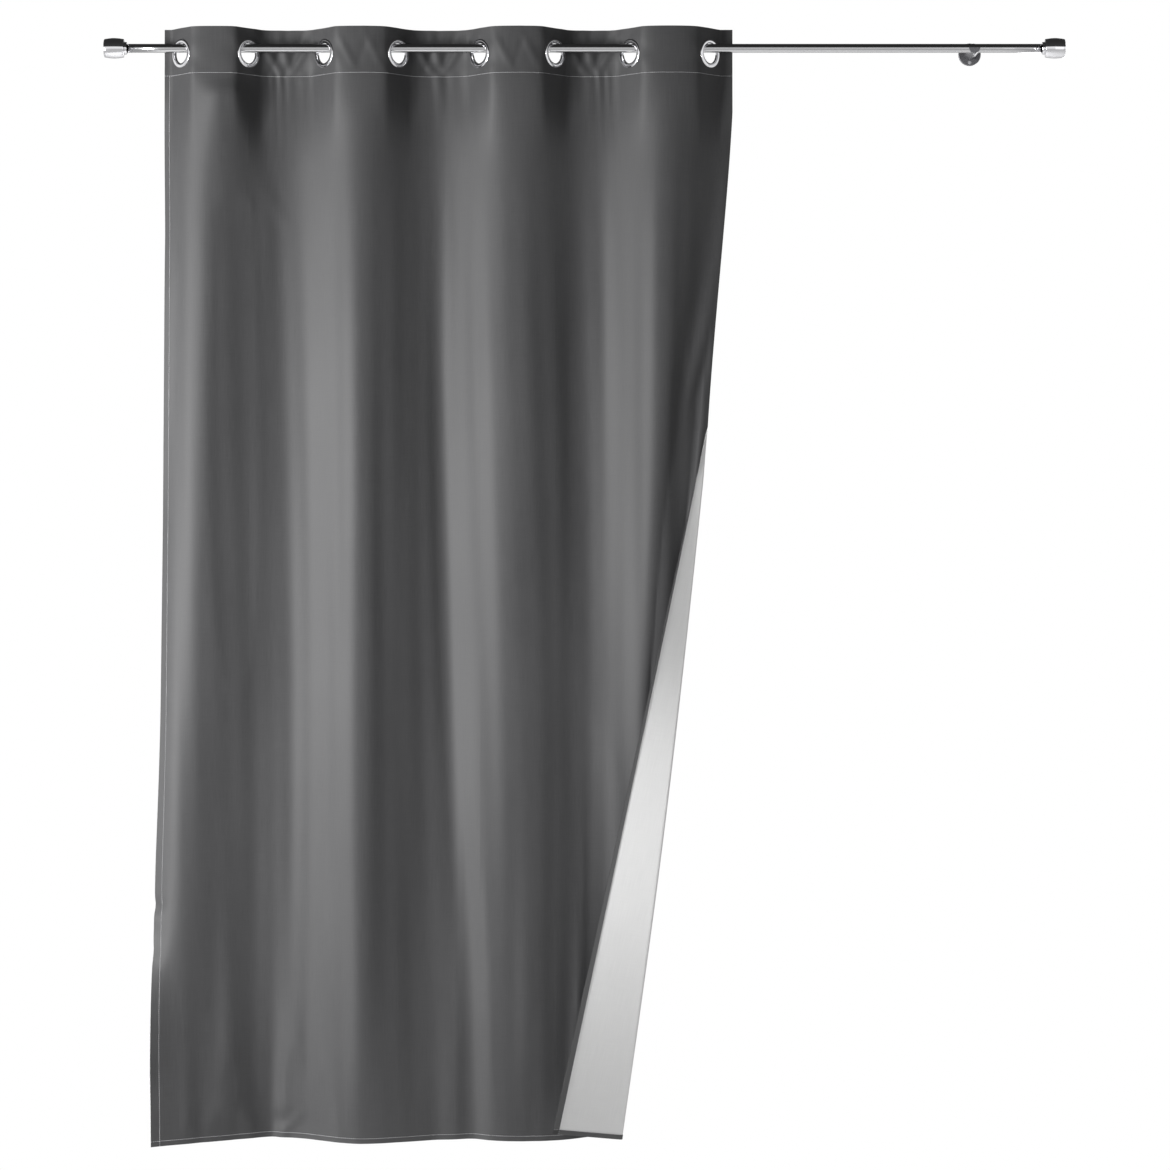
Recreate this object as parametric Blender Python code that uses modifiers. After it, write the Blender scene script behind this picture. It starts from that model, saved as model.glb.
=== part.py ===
"""Eyelet curtain panel hung on a rod: face cloth, lining, heading tape, eyelets, rod, end caps, brackets.

Frame: the origin is the centre of the left wall plate's back face. +X runs along the rod, +Y into the
wall and +Z up. All sizes are in metres. The cloth hangs in upright folds. It is held as one strip for
each eyelet, and neighbouring strips meet at the fold crests, where they hinge.
"""

import math

import bmesh
import bpy
from mathutils import Matrix, Vector

# Rod, its end caps and its brackets.
ROD_DIAMETER = 0.019
ROD_WALL = 0.001
ROD_LENGTH = 2.000
ROD_TO_WALL = 0.095
LEFT_OVERHANG = 0.176
BRACKET_SPAN = 1.664
CAP_DIAMETER = 0.044
CAP_END_DIAMETER = 0.040
CAP_LENGTH = 0.043
CAP_SOCKET = 0.008
COLLAR_DIAMETER = 0.027
COLLAR_LENGTH = 0.006
PLATE_DIAMETER = 0.049
PLATE_THICKNESS = 0.006
PLATE_BEVEL = 0.0015
POST_DIAMETER = 0.0235
SADDLE_LIP = 0.004
SPIGOT_DIAMETER = 0.010
SPIGOT_LENGTH = 0.003
WALL_SCREW_OFFSET = 0.0175
WALL_SCREW_DIAMETER = 0.004
WALL_SCREW_HEAD = 0.0078
HEAD_SUNK = 0.0004
HEAD_RIM = 0.0003
GRUB_DIAMETER = 0.004
GRUB_LENGTH = 0.005

# Cloth: the hung positions of the eyelets, the drop and the layers.
FIRST_EYELET = -0.045
EYELET_PITCHES = (0.144, 0.164, 0.159, 0.176, 0.162, 0.162, 0.172)
LEFT_MARGIN = 0.039
RIGHT_MARGIN = 0.052
TOP_ABOVE_ROD = 0.0435
DROP = 2.400
HEADING_TAPE_HEIGHT = 0.096
CREST_DEPTH_SHARE = 0.2123
EYELET_TILT = math.radians(46)
FACE_THICKNESS = 0.0008
TAPE_THICKNESS = 0.0005
LINING_THICKNESS = 0.0006
SEAT_GAP = 0.0003

# Eyelets.
EYELET_SLACK = 0.024
EYELET_FLANGE = 0.0095
BARREL_WALL = 0.0015
RING_CROWN = 0.0016
EYELET_HANG_GAP = 0.0011

# Turned-over corner: where its crease and its free side hem run.
CREASE_START_DROP = 0.867
SLANT_START_DROP = 0.180
CREASE_FOOT_X = 0.901
CORNER_X = 0.755
CORNER_LIFT = 0.028
CORNER_REACH = 0.066
CORNER_HINGE_X = 0.860
TURN_OFFSET = 0.0050
TURN_LAYER_STEP = 0.0018

ROD_Y = -ROD_TO_WALL
EYELET_BORE = ROD_DIAMETER + EYELET_SLACK
EYELET_Z = -(EYELET_BORE - ROD_DIAMETER) / 2 + EYELET_HANG_GAP
EYELET_OUTER = EYELET_BORE / 2 + EYELET_FLANGE
CLOTH_HOLE = EYELET_BORE / 2 + BARREL_WALL + SEAT_GAP
EYELETS = [FIRST_EYELET + sum(EYELET_PITCHES[:k]) for k in range(len(EYELET_PITCHES) + 1)]
TOP_Z = TOP_ABOVE_ROD
BOTTOM_Z = TOP_ABOVE_ROD - DROP
LEFT_EDGE = EYELETS[0] - LEFT_MARGIN
RIGHT_EDGE = EYELETS[-1] + RIGHT_MARGIN
CRESTS = [(a + b) / 2 for a, b in zip(EYELETS, EYELETS[1:])]

# The layers' places across the cloth, measured forward from the middle of the heading tape.
FACE_INNER = TAPE_THICKNESS / 2 + SEAT_GAP
FACE_OUTER = FACE_INNER + FACE_THICKNESS
LINING_OUTER = FACE_INNER + LINING_THICKNESS
FACE_MIDDLE = FACE_INNER + FACE_THICKNESS / 2
LINING_MIDDLE = -(FACE_INNER + LINING_THICKNESS / 2)

CURVE_STEPS = 5
ROUND_STEPS = 28
EYELET_STEPS = 20
SCREW_STEPS = 10


def clear_scene():
    for obj in list(bpy.data.objects):
        bpy.data.objects.remove(obj, do_unlink=True)


def new_collection(name):
    collection = bpy.data.collections.new(name)
    bpy.context.scene.collection.children.link(collection)
    return collection


def new_material(name, color, roughness, metallic=0.0):
    material = bpy.data.materials.new(name)
    material.use_nodes = True
    shader = material.node_tree.nodes["Principled BSDF"]
    shader.inputs["Base Color"].default_value = (*color, 1.0)
    shader.inputs["Roughness"].default_value = roughness
    shader.inputs["Metallic"].default_value = metallic
    return material


clear_scene()
PARTS = new_collection("curtain_panel")
CUTTERS = new_collection("cutters")
FACE_CLOTH = new_material("face_cloth", (0.055, 0.055, 0.06), 0.6)
LINING_CLOTH = new_material("lining_cloth", (0.62, 0.62, 0.61), 0.8)
HEADING_TAPE = new_material("heading_tape", (0.75, 0.75, 0.72), 0.9)
CHROME = new_material("chrome", (0.8, 0.8, 0.82), 0.08, 1.0)
ROD_STEEL = new_material("rod_steel", (0.55, 0.55, 0.56), 0.25, 1.0)
GUNMETAL = new_material("gunmetal", (0.16, 0.16, 0.17), 0.35, 1.0)
SCREW_STEEL = new_material("screw_steel", (0.6, 0.6, 0.6), 0.3, 1.0)


def add_object(name, mesh, material, collection=None):
    obj = bpy.data.objects.new(name, mesh)
    (collection or PARTS).objects.link(obj)
    if material:
        mesh.materials.append(material)
    return obj


def mesh_from(name, bm):
    mesh = bpy.data.meshes.new(name)
    bm.to_mesh(mesh)
    bm.free()
    return mesh


def make_cutter(obj):
    obj.hide_render = True
    obj.display_type = "WIRE"


def cylinder(name, radius, start, end, material, collection=None, steps=ROUND_STEPS):
    """A round bar from one point to another."""
    bm = bmesh.new()
    along = Vector(end) - Vector(start)
    bmesh.ops.create_cone(bm, cap_ends=True, segments=steps, radius1=radius, radius2=radius,
                          depth=along.length)
    turn = along.to_track_quat("Z", "X").to_matrix().to_4x4()
    middle = (Vector(start) + Vector(end)) / 2
    bmesh.ops.transform(bm, matrix=Matrix.Translation(middle) @ turn, verts=bm.verts)
    return add_object(name, mesh_from(name, bm), material, collection)


def box(name, low, high, collection=None):
    bm = bmesh.new()
    bmesh.ops.create_cube(bm, size=1.0)
    size = Vector(high) - Vector(low)
    place = Matrix.Translation((Vector(low) + Vector(high)) / 2)
    bmesh.ops.transform(bm, matrix=place @ Matrix.Diagonal((*size, 1.0)), verts=bm.verts)
    return add_object(name, mesh_from(name, bm), None, collection)


def turned(name, profile, steps, material, closed):
    """A turned piece about its own Z axis: the profile is (radius, height), down the outer side first."""
    bm = bmesh.new()
    points = [bm.verts.new((radius, 0.0, height)) for radius, height in profile]
    for a, b in zip(points, points[1:]):
        bm.edges.new((a, b))
    if closed:
        bm.edges.new((points[-1], points[0]))
    obj = add_object(name, mesh_from(name, bm), material)
    screw = obj.modifiers.new("turn", "SCREW")
    screw.axis = "Z"
    screw.angle = math.tau
    screw.steps = steps
    screw.render_steps = steps
    screw.use_merge_vertices = True
    screw.merge_threshold = 0.0001
    return obj


def lay_along(obj, place, direction):
    """Puts a turned piece at a place, with its own Z axis along a direction."""
    obj.rotation_mode = "QUATERNION"
    obj.rotation_quaternion = Vector(direction).to_track_quat("Z", "X")
    obj.location = place


def boolean(obj, cutter, operation="DIFFERENCE"):
    make_cutter(cutter)
    cut = obj.modifiers.new(cutter.name, "BOOLEAN")
    cut.operation = operation
    cut.object = cutter
    cut.solver = "EXACT"


def bevel(obj, width, segments=1, limit=30):
    modifier = obj.modifiers.new("bevel", "BEVEL")
    modifier.width = width
    modifier.segments = segments
    modifier.limit_method = "ANGLE"
    modifier.angle_limit = math.radians(limit)


# ---- The hung cloth's plan outline ----------------------------------------------------------------

def side_of(index):
    """The side that the fold after eyelet number index bows to: forward (-1) or back (+1), in turn."""
    return -1 if index % 2 == 0 else 1


def half_fold(reach, depth):
    """From an eyelet to the crest: straight past the eyelet's flange, then one curve, level at the crest.

    Points are (distance along the rod, distance out from it)."""
    flat = EYELET_OUTER + 0.0015
    flat_end = Vector((flat * math.cos(EYELET_TILT), flat * math.sin(EYELET_TILT)))
    corner = Vector((depth / math.tan(EYELET_TILT), depth))
    crest = Vector((reach, depth))
    points = [Vector((0.0, 0.0))]
    for step in range(CURVE_STEPS + 1):
        s = step / CURVE_STEPS
        points.append(flat_end * (1 - s) ** 2 + corner * 2 * s * (1 - s) + crest * s * s)
    return points


def crest_depth(pitch):
    """A crest stands out by a share of its fold's width, and always far enough to clear the eyelet."""
    clear_of_eyelet = (EYELET_OUTER + 0.002) * math.sin(EYELET_TILT)
    return max(pitch * CREST_DEPTH_SHARE, clear_of_eyelet)


def margin(reach):
    """Past the outermost eyelets the cloth runs straight past the flange and then levels off."""
    depth = (EYELET_OUTER + 0.003) * math.sin(EYELET_TILT)
    return half_fold(max(reach, depth / math.tan(EYELET_TILT) + 0.006), depth)


def strip_outline(k):
    """The plan outline of strip k from left to right, about the tape's middle."""
    eyelet = Vector((EYELETS[k], ROD_Y))
    if k == 0:
        left = margin(LEFT_MARGIN)
    else:
        left = half_fold(EYELET_PITCHES[k - 1] / 2, crest_depth(EYELET_PITCHES[k - 1]))
    if k == len(EYELETS) - 1:
        right = margin(RIGHT_MARGIN)
    else:
        right = half_fold(EYELET_PITCHES[k] / 2, crest_depth(EYELET_PITCHES[k]))
    side = side_of(k)
    left_points = [eyelet + Vector((-p.x, -side * p.y)) for p in reversed(left)]
    right_points = [eyelet + Vector((p.x, side * p.y)) for p in right[1:]]
    return left_points + right_points


def offset_outline(points, forward):
    """Moves a plan outline towards the viewer, square to itself."""
    moved = []
    for i, point in enumerate(points):
        before = points[max(i - 1, 0)]
        after = points[min(i + 1, len(points) - 1)]
        along = (after - before).normalized()
        if i in (0, len(points) - 1) and abs(along.y) < 0.2:
            along = Vector((1.0, 0.0))
        moved.append(point + Vector((along.y, -along.x)) * forward)
    return moved


def end_back(points, k):
    """Ends a strip half a seat gap short of each crest, so that neighbouring strips don't touch."""
    trimmed = [p.copy() for p in points]
    if k > 0:
        trimmed[0].x += SEAT_GAP / 2
    if k < len(EYELETS) - 1:
        trimmed[-1].x -= SEAT_GAP / 2
    return trimmed


def cloth_surface_y(x):
    """How far back the hung cloth's middle lies at a place along the rod."""
    for k in range(len(EYELETS)):
        outline = strip_outline(k)
        if outline[0].x <= x <= outline[-1].x:
            for a, b in zip(outline, outline[1:]):
                if a.x <= x <= b.x:
                    return a.y + (b.y - a.y) * (x - a.x) / (b.x - a.x)
    raise ValueError("that place is past the cloth")


# ---- Sheets ---------------------------------------------------------------------------------------

def upright_sheet(name, outline, bottom, top, thickness, material):
    """A plan outline drawn straight up, then thickened both ways."""
    bm = bmesh.new()
    verts = [bm.verts.new((p.x, p.y, bottom)) for p in outline]
    edges = [bm.edges.new((a, b)) for a, b in zip(verts, verts[1:])]
    raised = bmesh.ops.extrude_edge_only(bm, edges=edges)["geom"]
    top_verts = [v for v in raised if isinstance(v, bmesh.types.BMVert)]
    bmesh.ops.translate(bm, verts=top_verts, vec=(0.0, 0.0, top - bottom))
    bmesh.ops.recalc_face_normals(bm, faces=bm.faces)
    obj = add_object(name, mesh_from(name, bm), material)
    thicken(obj, thickness)
    return obj


def thicken(obj, thickness):
    solidify = obj.modifiers.new("thickness", "SOLIDIFY")
    solidify.thickness = thickness
    solidify.offset = 0.0
    solidify.use_even_offset = True


def eyelet_axis(k):
    """The eyelet's own axis, towards the viewer's side, square to the cloth there."""
    side = side_of(k)
    along = Vector((math.cos(EYELET_TILT), side * math.sin(EYELET_TILT), 0.0))
    return Vector((along.y, -along.x, 0.0))


def eyelet_centre(k):
    return Vector((EYELETS[k], ROD_Y, EYELET_Z))


def hole_cutter(k):
    reach = eyelet_axis(k) * 0.012
    name = f"eyelet_hole_{k + 1}"
    return cylinder(name, CLOTH_HOLE, eyelet_centre(k) - reach, eyelet_centre(k) + reach, None,
                    CUTTERS, EYELET_STEPS)


# ---- The turned corner ----------------------------------------------------------------------------

CREASE_TOP_Z = TOP_Z - CREASE_START_DROP
CREASE_TOP_X = EYELETS[-1] - 0.007
CORNER_Z = BOTTOM_Z + CORNER_LIFT


def crease_x(z):
    """The crease runs in a gentle bow from the side hem down to the bottom hem."""
    s = (CREASE_TOP_Z - z) / (CREASE_TOP_Z - BOTTOM_Z)
    bow = 0.012 * math.sin(math.pi * min(max(s, 0.0), 1.0))
    return CREASE_TOP_X + (CREASE_FOOT_X - CREASE_TOP_X) * s + bow


def free_edge_x(z):
    """The turned side hem runs straight from the crease's top to the corner."""
    s = (CREASE_TOP_Z - z) / (CREASE_TOP_Z - CORNER_Z)
    return CREASE_TOP_X + (CORNER_X - CREASE_TOP_X) * s


def turned_y(x, s, offset):
    """The turned cloth leaves the hung cloth at the crease and reaches forward to its free corner."""
    crest_x = CRESTS[-1]
    crest_y = cloth_surface_y(crest_x)
    if x >= crest_x:
        return cloth_surface_y(x) - offset
    reach = (crest_x - x) / (crest_x - CORNER_X)
    corner_y = ROD_Y - CORNER_REACH
    free_y = crest_y + (corner_y - crest_y) * reach
    hung_y = cloth_surface_y(x)
    return hung_y * (1 - s) + min(free_y, hung_y) * s - offset


def turned_sheet(name, low_x, high_x, offset, thickness, material):
    """A loft from the crease to the free hem, cut to the stretch that one body carries."""
    rows, columns = 20, 6
    bm = bmesh.new()
    grid = []
    for i in range(rows + 1):
        t = 0.02 + 0.98 * i / rows
        crease_z = CREASE_TOP_Z + (BOTTOM_Z - CREASE_TOP_Z) * t
        free_z = CREASE_TOP_Z + (CORNER_Z - CREASE_TOP_Z) * t
        row = []
        for j in range(columns + 1):
            s = j / columns
            x = crease_x(crease_z) * (1 - s) + free_edge_x(free_z) * s
            z = crease_z * (1 - s) + free_z * s
            row.append(bm.verts.new((x, turned_y(x, s, offset), z)))
        grid.append(row)
    for upper, lower in zip(grid, grid[1:]):
        for j in range(columns):
            bm.faces.new((upper[j], upper[j + 1], lower[j + 1], lower[j]))
    bmesh.ops.recalc_face_normals(bm, faces=bm.faces)
    obj = add_object(name, mesh_from(name, bm), material)
    thicken(obj, thickness)
    keep = box(f"{name}_stretch", (low_x, ROD_Y - 0.3, BOTTOM_Z - 0.1), (high_x, 0.0, TOP_Z), CUTTERS)
    boolean(obj, keep, "INTERSECT")
    return obj


def crease_cutter():
    """Everything past the crease, seen from the front. Above the crease the side hem leans in to meet it."""
    bm = bmesh.new()
    steps = 10
    slant_top = TOP_Z - SLANT_START_DROP
    outline = [(RIGHT_EDGE + 0.2, BOTTOM_Z - 0.1), (RIGHT_EDGE + 0.2, slant_top), (RIGHT_EDGE + 0.002, slant_top)]
    for i in range(steps + 1):
        z = CREASE_TOP_Z + (BOTTOM_Z - CREASE_TOP_Z) * i / steps
        outline.append((crease_x(z), z))
    outline.append((CREASE_FOOT_X - 0.012, BOTTOM_Z - 0.1))
    front = [bm.verts.new((x, ROD_Y - 0.2, z)) for x, z in outline]
    face = bm.faces.new(front)
    pulled = bmesh.ops.extrude_face_region(bm, geom=[face])["geom"]
    moved = [v for v in pulled if isinstance(v, bmesh.types.BMVert)]
    bmesh.ops.translate(bm, verts=moved, vec=(0.0, 0.4, 0.0))
    bmesh.ops.recalc_face_normals(bm, faces=bm.faces)
    return add_object("crease_cut", mesh_from("crease_cut", bm), None, CUTTERS)


# ---- Pieces ---------------------------------------------------------------------------------------

def make_cloth():
    past_crease = crease_cutter()
    for k in range(len(EYELETS)):
        hole = hole_cutter(k)
        outline = strip_outline(k)
        number = k + 1
        layers = (
            ("face_fold", FACE_MIDDLE, FACE_THICKNESS, BOTTOM_Z, FACE_CLOTH),
            ("lining_fold", LINING_MIDDLE, LINING_THICKNESS, BOTTOM_Z + 0.010, LINING_CLOTH),
            ("heading_tape", 0.0, TAPE_THICKNESS, TOP_Z - HEADING_TAPE_HEIGHT, HEADING_TAPE),
        )
        for name, forward, thickness, bottom, material in layers:
            line = end_back(offset_outline(outline, forward), k)
            top = TOP_Z if name == "face_fold" else TOP_Z - 0.002
            sheet = upright_sheet(f"{name}_{number}", line, bottom, top, thickness, material)
            boolean(sheet, hole)
            if name != "heading_tape" and number >= 7:
                boolean(sheet, past_crease)


def make_turned_corner():
    crest = CRESTS[-1]
    stretches = (
        ("upper", crest + SEAT_GAP / 2, RIGHT_EDGE),
        ("middle", CORNER_HINGE_X + SEAT_GAP / 2, crest - SEAT_GAP / 2),
        ("tip", CORNER_X - 0.1, CORNER_HINGE_X - SEAT_GAP / 2),
    )
    for name, low, high in stretches:
        turned_sheet(f"turned_face_{name}", low, high, TURN_OFFSET, FACE_THICKNESS, FACE_CLOTH)
        turned_sheet(f"turned_lining_{name}", low, high, TURN_OFFSET + TURN_LAYER_STEP,
                     LINING_THICKNESS, LINING_CLOTH)


def make_eyelets():
    """Each eyelet is a ring with a barrel, from the front, and a washer behind, around the barrel."""
    bore = EYELET_BORE / 2
    barrel = bore + BARREL_WALL
    seat = FACE_OUTER + SEAT_GAP
    crown = seat + RING_CROWN
    back_seat = -(LINING_OUTER + SEAT_GAP)
    back = back_seat - RING_CROWN
    ring = [
        (EYELET_OUTER, seat), (barrel, seat), (barrel, back), (bore, back / 2), (bore, seat / 2),
        (barrel + 0.0012, crown), (EYELET_OUTER - 0.0028, crown),
    ]
    washer = [
        (EYELET_OUTER, back_seat), (EYELET_OUTER - 0.0028, back), (barrel + 0.0017, back),
        (barrel + SEAT_GAP, back_seat),
    ]
    for k in range(len(EYELETS)):
        for name, profile in (("eyelet_ring", ring), ("eyelet_washer", washer)):
            piece = turned(f"{name}_{k + 1}", profile, EYELET_STEPS, CHROME, closed=True)
            lay_along(piece, eyelet_centre(k), eyelet_axis(k))


def make_rod():
    start = -LEFT_OVERHANG
    rod = cylinder("rod_tube", ROD_DIAMETER / 2, (start, ROD_Y, 0), (start + ROD_LENGTH, ROD_Y, 0),
                   ROD_STEEL)
    bore = cylinder("rod_bore", ROD_DIAMETER / 2 - ROD_WALL, (start - 0.01, ROD_Y, 0),
                    (start + ROD_LENGTH + 0.01, ROD_Y, 0), None, CUTTERS)
    boolean(rod, bore)


def make_end_caps():
    """Each end cap is one turned piece: a collar, then a barrel, pushed on over the rod's end."""
    rod_hole = ROD_DIAMETER / 2 + SEAT_GAP
    end = CAP_END_DIAMETER / 2
    crown = CAP_DIAMETER / 2
    collar = COLLAR_DIAMETER / 2
    edge = 0.002
    lip = COLLAR_LENGTH / 4
    profile = [(0.0, CAP_LENGTH), (end - edge, CAP_LENGTH), (end, CAP_LENGTH - edge)]
    bands = 4
    for step in range(1, bands):
        s = step / bands
        bulge = (crown - end) * math.sin(math.pi * s)
        profile.append((end + bulge, (CAP_LENGTH - edge) * (1 - s) + edge * s))
    profile += [(end, edge), (end - edge, 0.0), (collar - lip, 0.0), (collar, -lip)]
    profile += [(collar, lip - COLLAR_LENGTH), (collar - lip, -COLLAR_LENGTH), (rod_hole, -COLLAR_LENGTH)]
    profile += [(rod_hole, CAP_SOCKET), (0.0, CAP_SOCKET)]
    rod_start = -LEFT_OVERHANG
    rod_end = rod_start + ROD_LENGTH
    for side, x, outward in (("left", rod_start, -1), ("right", rod_end, 1)):
        mouth = x - outward * (CAP_SOCKET - SEAT_GAP)
        cap = turned(f"end_cap_{side}", profile, ROUND_STEPS, CHROME, closed=False)
        lay_along(cap, (mouth, ROD_Y, 0), (outward, 0, 0))


def countersunk(widening, top, bottom):
    """A countersunk screw's profile from its head's top down to its shank's end."""
    head = WALL_SCREW_HEAD / 2 + widening
    shank = WALL_SCREW_DIAMETER / 2 + widening
    shoulder = -HEAD_SUNK - HEAD_RIM
    return [(0.0, top), (head, top), (head, shoulder), (shank, shoulder - (head - shank)),
            (shank, bottom), (0.0, bottom)]


def make_wall_screw(name, plate, place):
    """A wall screw, shown down to the plate's back face, and its hole in the plate."""
    hole = turned(f"{name}_hole", countersunk(SEAT_GAP, 0.004, -PLATE_THICKNESS - 0.004), SCREW_STEPS,
                  None, closed=False)
    PARTS.objects.unlink(hole)
    CUTTERS.objects.link(hole)
    lay_along(hole, place, (0, -1, 0))
    boolean(plate, hole)
    screw = turned(name, countersunk(0.0, -HEAD_SUNK, -PLATE_THICKNESS + SEAT_GAP), SCREW_STEPS,
                   SCREW_STEEL, closed=False)
    lay_along(screw, place, (0, -1, 0))


def make_brackets():
    post = POST_DIAMETER / 2
    saddle_radius = ROD_DIAMETER / 2 + SEAT_GAP
    front = ROD_Y - saddle_radius - SADDLE_LIP
    foot = -PLATE_THICKNESS - SEAT_GAP
    reach = foot - front
    neck = SPIGOT_DIAMETER / 2
    post_profile = [(0.0, reach), (post, reach), (post, 0.0), (neck, 0.0), (neck, -SPIGOT_LENGTH - SEAT_GAP),
                    (0.0, -SPIGOT_LENGTH - SEAT_GAP)]
    for side, x in (("left", 0.0), ("right", BRACKET_SPAN)):
        plate = cylinder(f"wall_plate_{side}", PLATE_DIAMETER / 2, (x, 0, 0), (x, -PLATE_THICKNESS, 0),
                         GUNMETAL)
        bevel(plate, PLATE_BEVEL)
        blind_end = -PLATE_THICKNESS + SPIGOT_LENGTH + SEAT_GAP
        spigot_hole = cylinder(f"spigot_hole_{side}", neck + SEAT_GAP, (x, -PLATE_THICKNESS - 0.01, 0),
                               (x, blind_end, 0), None, CUTTERS)
        boolean(plate, spigot_hole)
        for name, sign in (("low", -1), ("high", 1)):
            place = (x, -PLATE_THICKNESS, sign * WALL_SCREW_OFFSET)
            make_wall_screw(f"wall_screw_{side}_{name}", plate, place)
        arm = turned(f"bracket_post_{side}", post_profile, ROUND_STEPS, GUNMETAL, closed=False)
        lay_along(arm, (x, foot, 0), (0, -1, 0))
        saddle = cylinder(f"saddle_{side}", saddle_radius, (x - 0.05, ROD_Y, 0), (x + 0.05, ROD_Y, 0),
                          None, CUTTERS)
        boolean(arm, saddle)
        mouth = box(f"saddle_mouth_{side}", (x - 0.05, front - 0.01, 0.0),
                    (x + 0.05, ROD_Y + saddle_radius, 0.05), CUTTERS)
        boolean(arm, mouth)
        tip = -(ROD_DIAMETER / 2 + SEAT_GAP)
        lock_hole = cylinder(f"lock_hole_{side}", GRUB_DIAMETER / 2 + SEAT_GAP, (x, ROD_Y, -0.05),
                             (x, ROD_Y, tip / 2), None, CUTTERS, SCREW_STEPS)
        boolean(arm, lock_hole)
        cylinder(f"rod_lock_screw_{side}", GRUB_DIAMETER / 2, (x, ROD_Y, tip - GRUB_LENGTH),
                 (x, ROD_Y, tip), SCREW_STEEL, None, SCREW_STEPS)


# ---- Joints ---------------------------------------------------------------------------------------

def fold_hinge(k):
    """Strip k turns about an upright axis: the first at its eyelet, the others at the crest before them.

    The axis lies in the crest's hollow face, so that the strips open apart and don't bite."""
    if k == 0:
        return Vector((EYELETS[0], ROD_Y, 0.0))
    side = side_of(k - 1)
    hollow = -FACE_OUTER if side > 0 else LINING_OUTER
    return Vector((CRESTS[k - 1], ROD_Y + side * crest_depth(EYELET_PITCHES[k - 1]) + hollow, 0.0))


def corner_hinge():
    """The free corner bends about a line down the turned lining's front face: its foot and its head."""
    x = CORNER_HINGE_X
    offset = TURN_OFFSET + TURN_LAYER_STEP + LINING_THICKNESS
    head_t = (CREASE_TOP_X - x) / (CREASE_TOP_X - CORNER_X)
    head = Vector((x, turned_y(x, 1.0, offset), CREASE_TOP_Z + (CORNER_Z - CREASE_TOP_Z) * head_t))
    foot_s = (CREASE_FOOT_X - x) / (CREASE_FOOT_X - CORNER_X)
    foot = Vector((x, turned_y(x, foot_s, offset), BOTTOM_Z + CORNER_LIFT * foot_s))
    return foot, head


def hold_on(name, place, pieces):
    """Parents the pieces of one moving body to an empty on its joint's axis."""
    empty = bpy.data.objects.new(name, None)
    PARTS.objects.link(empty)
    empty.location = place
    for piece_name in pieces:
        piece = bpy.data.objects[piece_name]
        piece.parent = empty
        piece.matrix_parent_inverse = Matrix.Translation(-place)


def make_joints():
    kinds = ("face_fold", "lining_fold", "heading_tape", "eyelet_ring", "eyelet_washer")
    for k in range(len(EYELETS)):
        pieces = [f"{kind}_{k + 1}" for kind in kinds]
        if k == len(EYELETS) - 2:
            pieces += ["turned_face_middle", "turned_lining_middle"]
        if k == len(EYELETS) - 1:
            pieces += ["turned_face_upper", "turned_lining_upper"]
        hold_on(f"fold_{k + 1}_axis", fold_hinge(k), pieces)
    hold_on("turned_corner_axis", corner_hinge()[0], ["turned_face_tip", "turned_lining_tip"])


make_cloth()
make_turned_corner()
make_eyelets()
make_rod()
make_end_caps()
make_brackets()
make_joints()
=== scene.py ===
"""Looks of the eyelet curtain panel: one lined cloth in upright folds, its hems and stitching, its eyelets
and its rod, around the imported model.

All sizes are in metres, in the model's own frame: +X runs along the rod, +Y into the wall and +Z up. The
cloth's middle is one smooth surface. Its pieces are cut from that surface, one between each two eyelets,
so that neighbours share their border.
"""

import math

import bmesh
import bpy
import numpy as np
from mathutils import Matrix, Vector


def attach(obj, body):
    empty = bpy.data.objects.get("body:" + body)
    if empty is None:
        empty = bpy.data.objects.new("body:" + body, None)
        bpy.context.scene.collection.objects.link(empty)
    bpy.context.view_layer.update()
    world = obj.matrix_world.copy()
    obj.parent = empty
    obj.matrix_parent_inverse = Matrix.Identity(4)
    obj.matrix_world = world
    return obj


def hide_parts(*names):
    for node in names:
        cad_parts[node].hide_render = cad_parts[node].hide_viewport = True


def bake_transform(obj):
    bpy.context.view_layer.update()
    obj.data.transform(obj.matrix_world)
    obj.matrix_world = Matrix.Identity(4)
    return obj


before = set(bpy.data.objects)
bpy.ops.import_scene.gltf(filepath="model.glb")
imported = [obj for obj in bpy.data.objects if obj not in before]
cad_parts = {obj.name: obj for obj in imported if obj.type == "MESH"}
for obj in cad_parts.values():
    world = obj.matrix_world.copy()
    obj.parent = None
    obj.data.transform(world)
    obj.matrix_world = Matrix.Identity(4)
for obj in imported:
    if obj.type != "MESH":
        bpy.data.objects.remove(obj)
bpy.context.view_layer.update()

# Rod and caps, as in the model.
ROD_DIAMETER = 0.019
ROD_LENGTH = 2.000
ROD_Y = -0.095
ROD_START = -0.176
CAP_DIAMETER = 0.044
CAP_END_DIAMETER = 0.040
CAP_LENGTH = 0.043
CAP_SOCKET = 0.008
COLLAR_DIAMETER = 0.027
COLLAR_LENGTH = 0.006
ROD_WALL = 0.001

# Cloth, as in the model.
FIRST_EYELET = -0.045
EYELET_PITCHES = (0.144, 0.164, 0.159, 0.176, 0.162, 0.162, 0.172)
LEFT_MARGIN = 0.039
RIGHT_MARGIN = 0.052
TOP_Z = 0.0435
DROP = 2.400
CREST_DEPTH_SHARE = 0.2123
EYELET_TILT = math.radians(46)
FACE_THICKNESS = 0.0008
LINING_THICKNESS = 0.0006
FACE_MIDDLE = 0.00095
LINING_MIDDLE = -0.00085
EYELET_BORE = 0.043
EYELET_FLANGE = 0.0095
BARREL_WALL = 0.0015
RING_CROWN = 0.0016
EYELET_Z = -0.0109
SEAT_GAP = 0.0003

# Turned-over corner, as in the model.
CREASE_TOP_X = 1.087
CREASE_FOOT_X = 0.901
CREASE_START_DROP = 0.867
SLANT_START_DROP = 0.180
CREASE_BOW = 0.009
CORNER_X = 0.755
CORNER_LIFT = 0.028
CORNER_Y = -0.161
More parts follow.
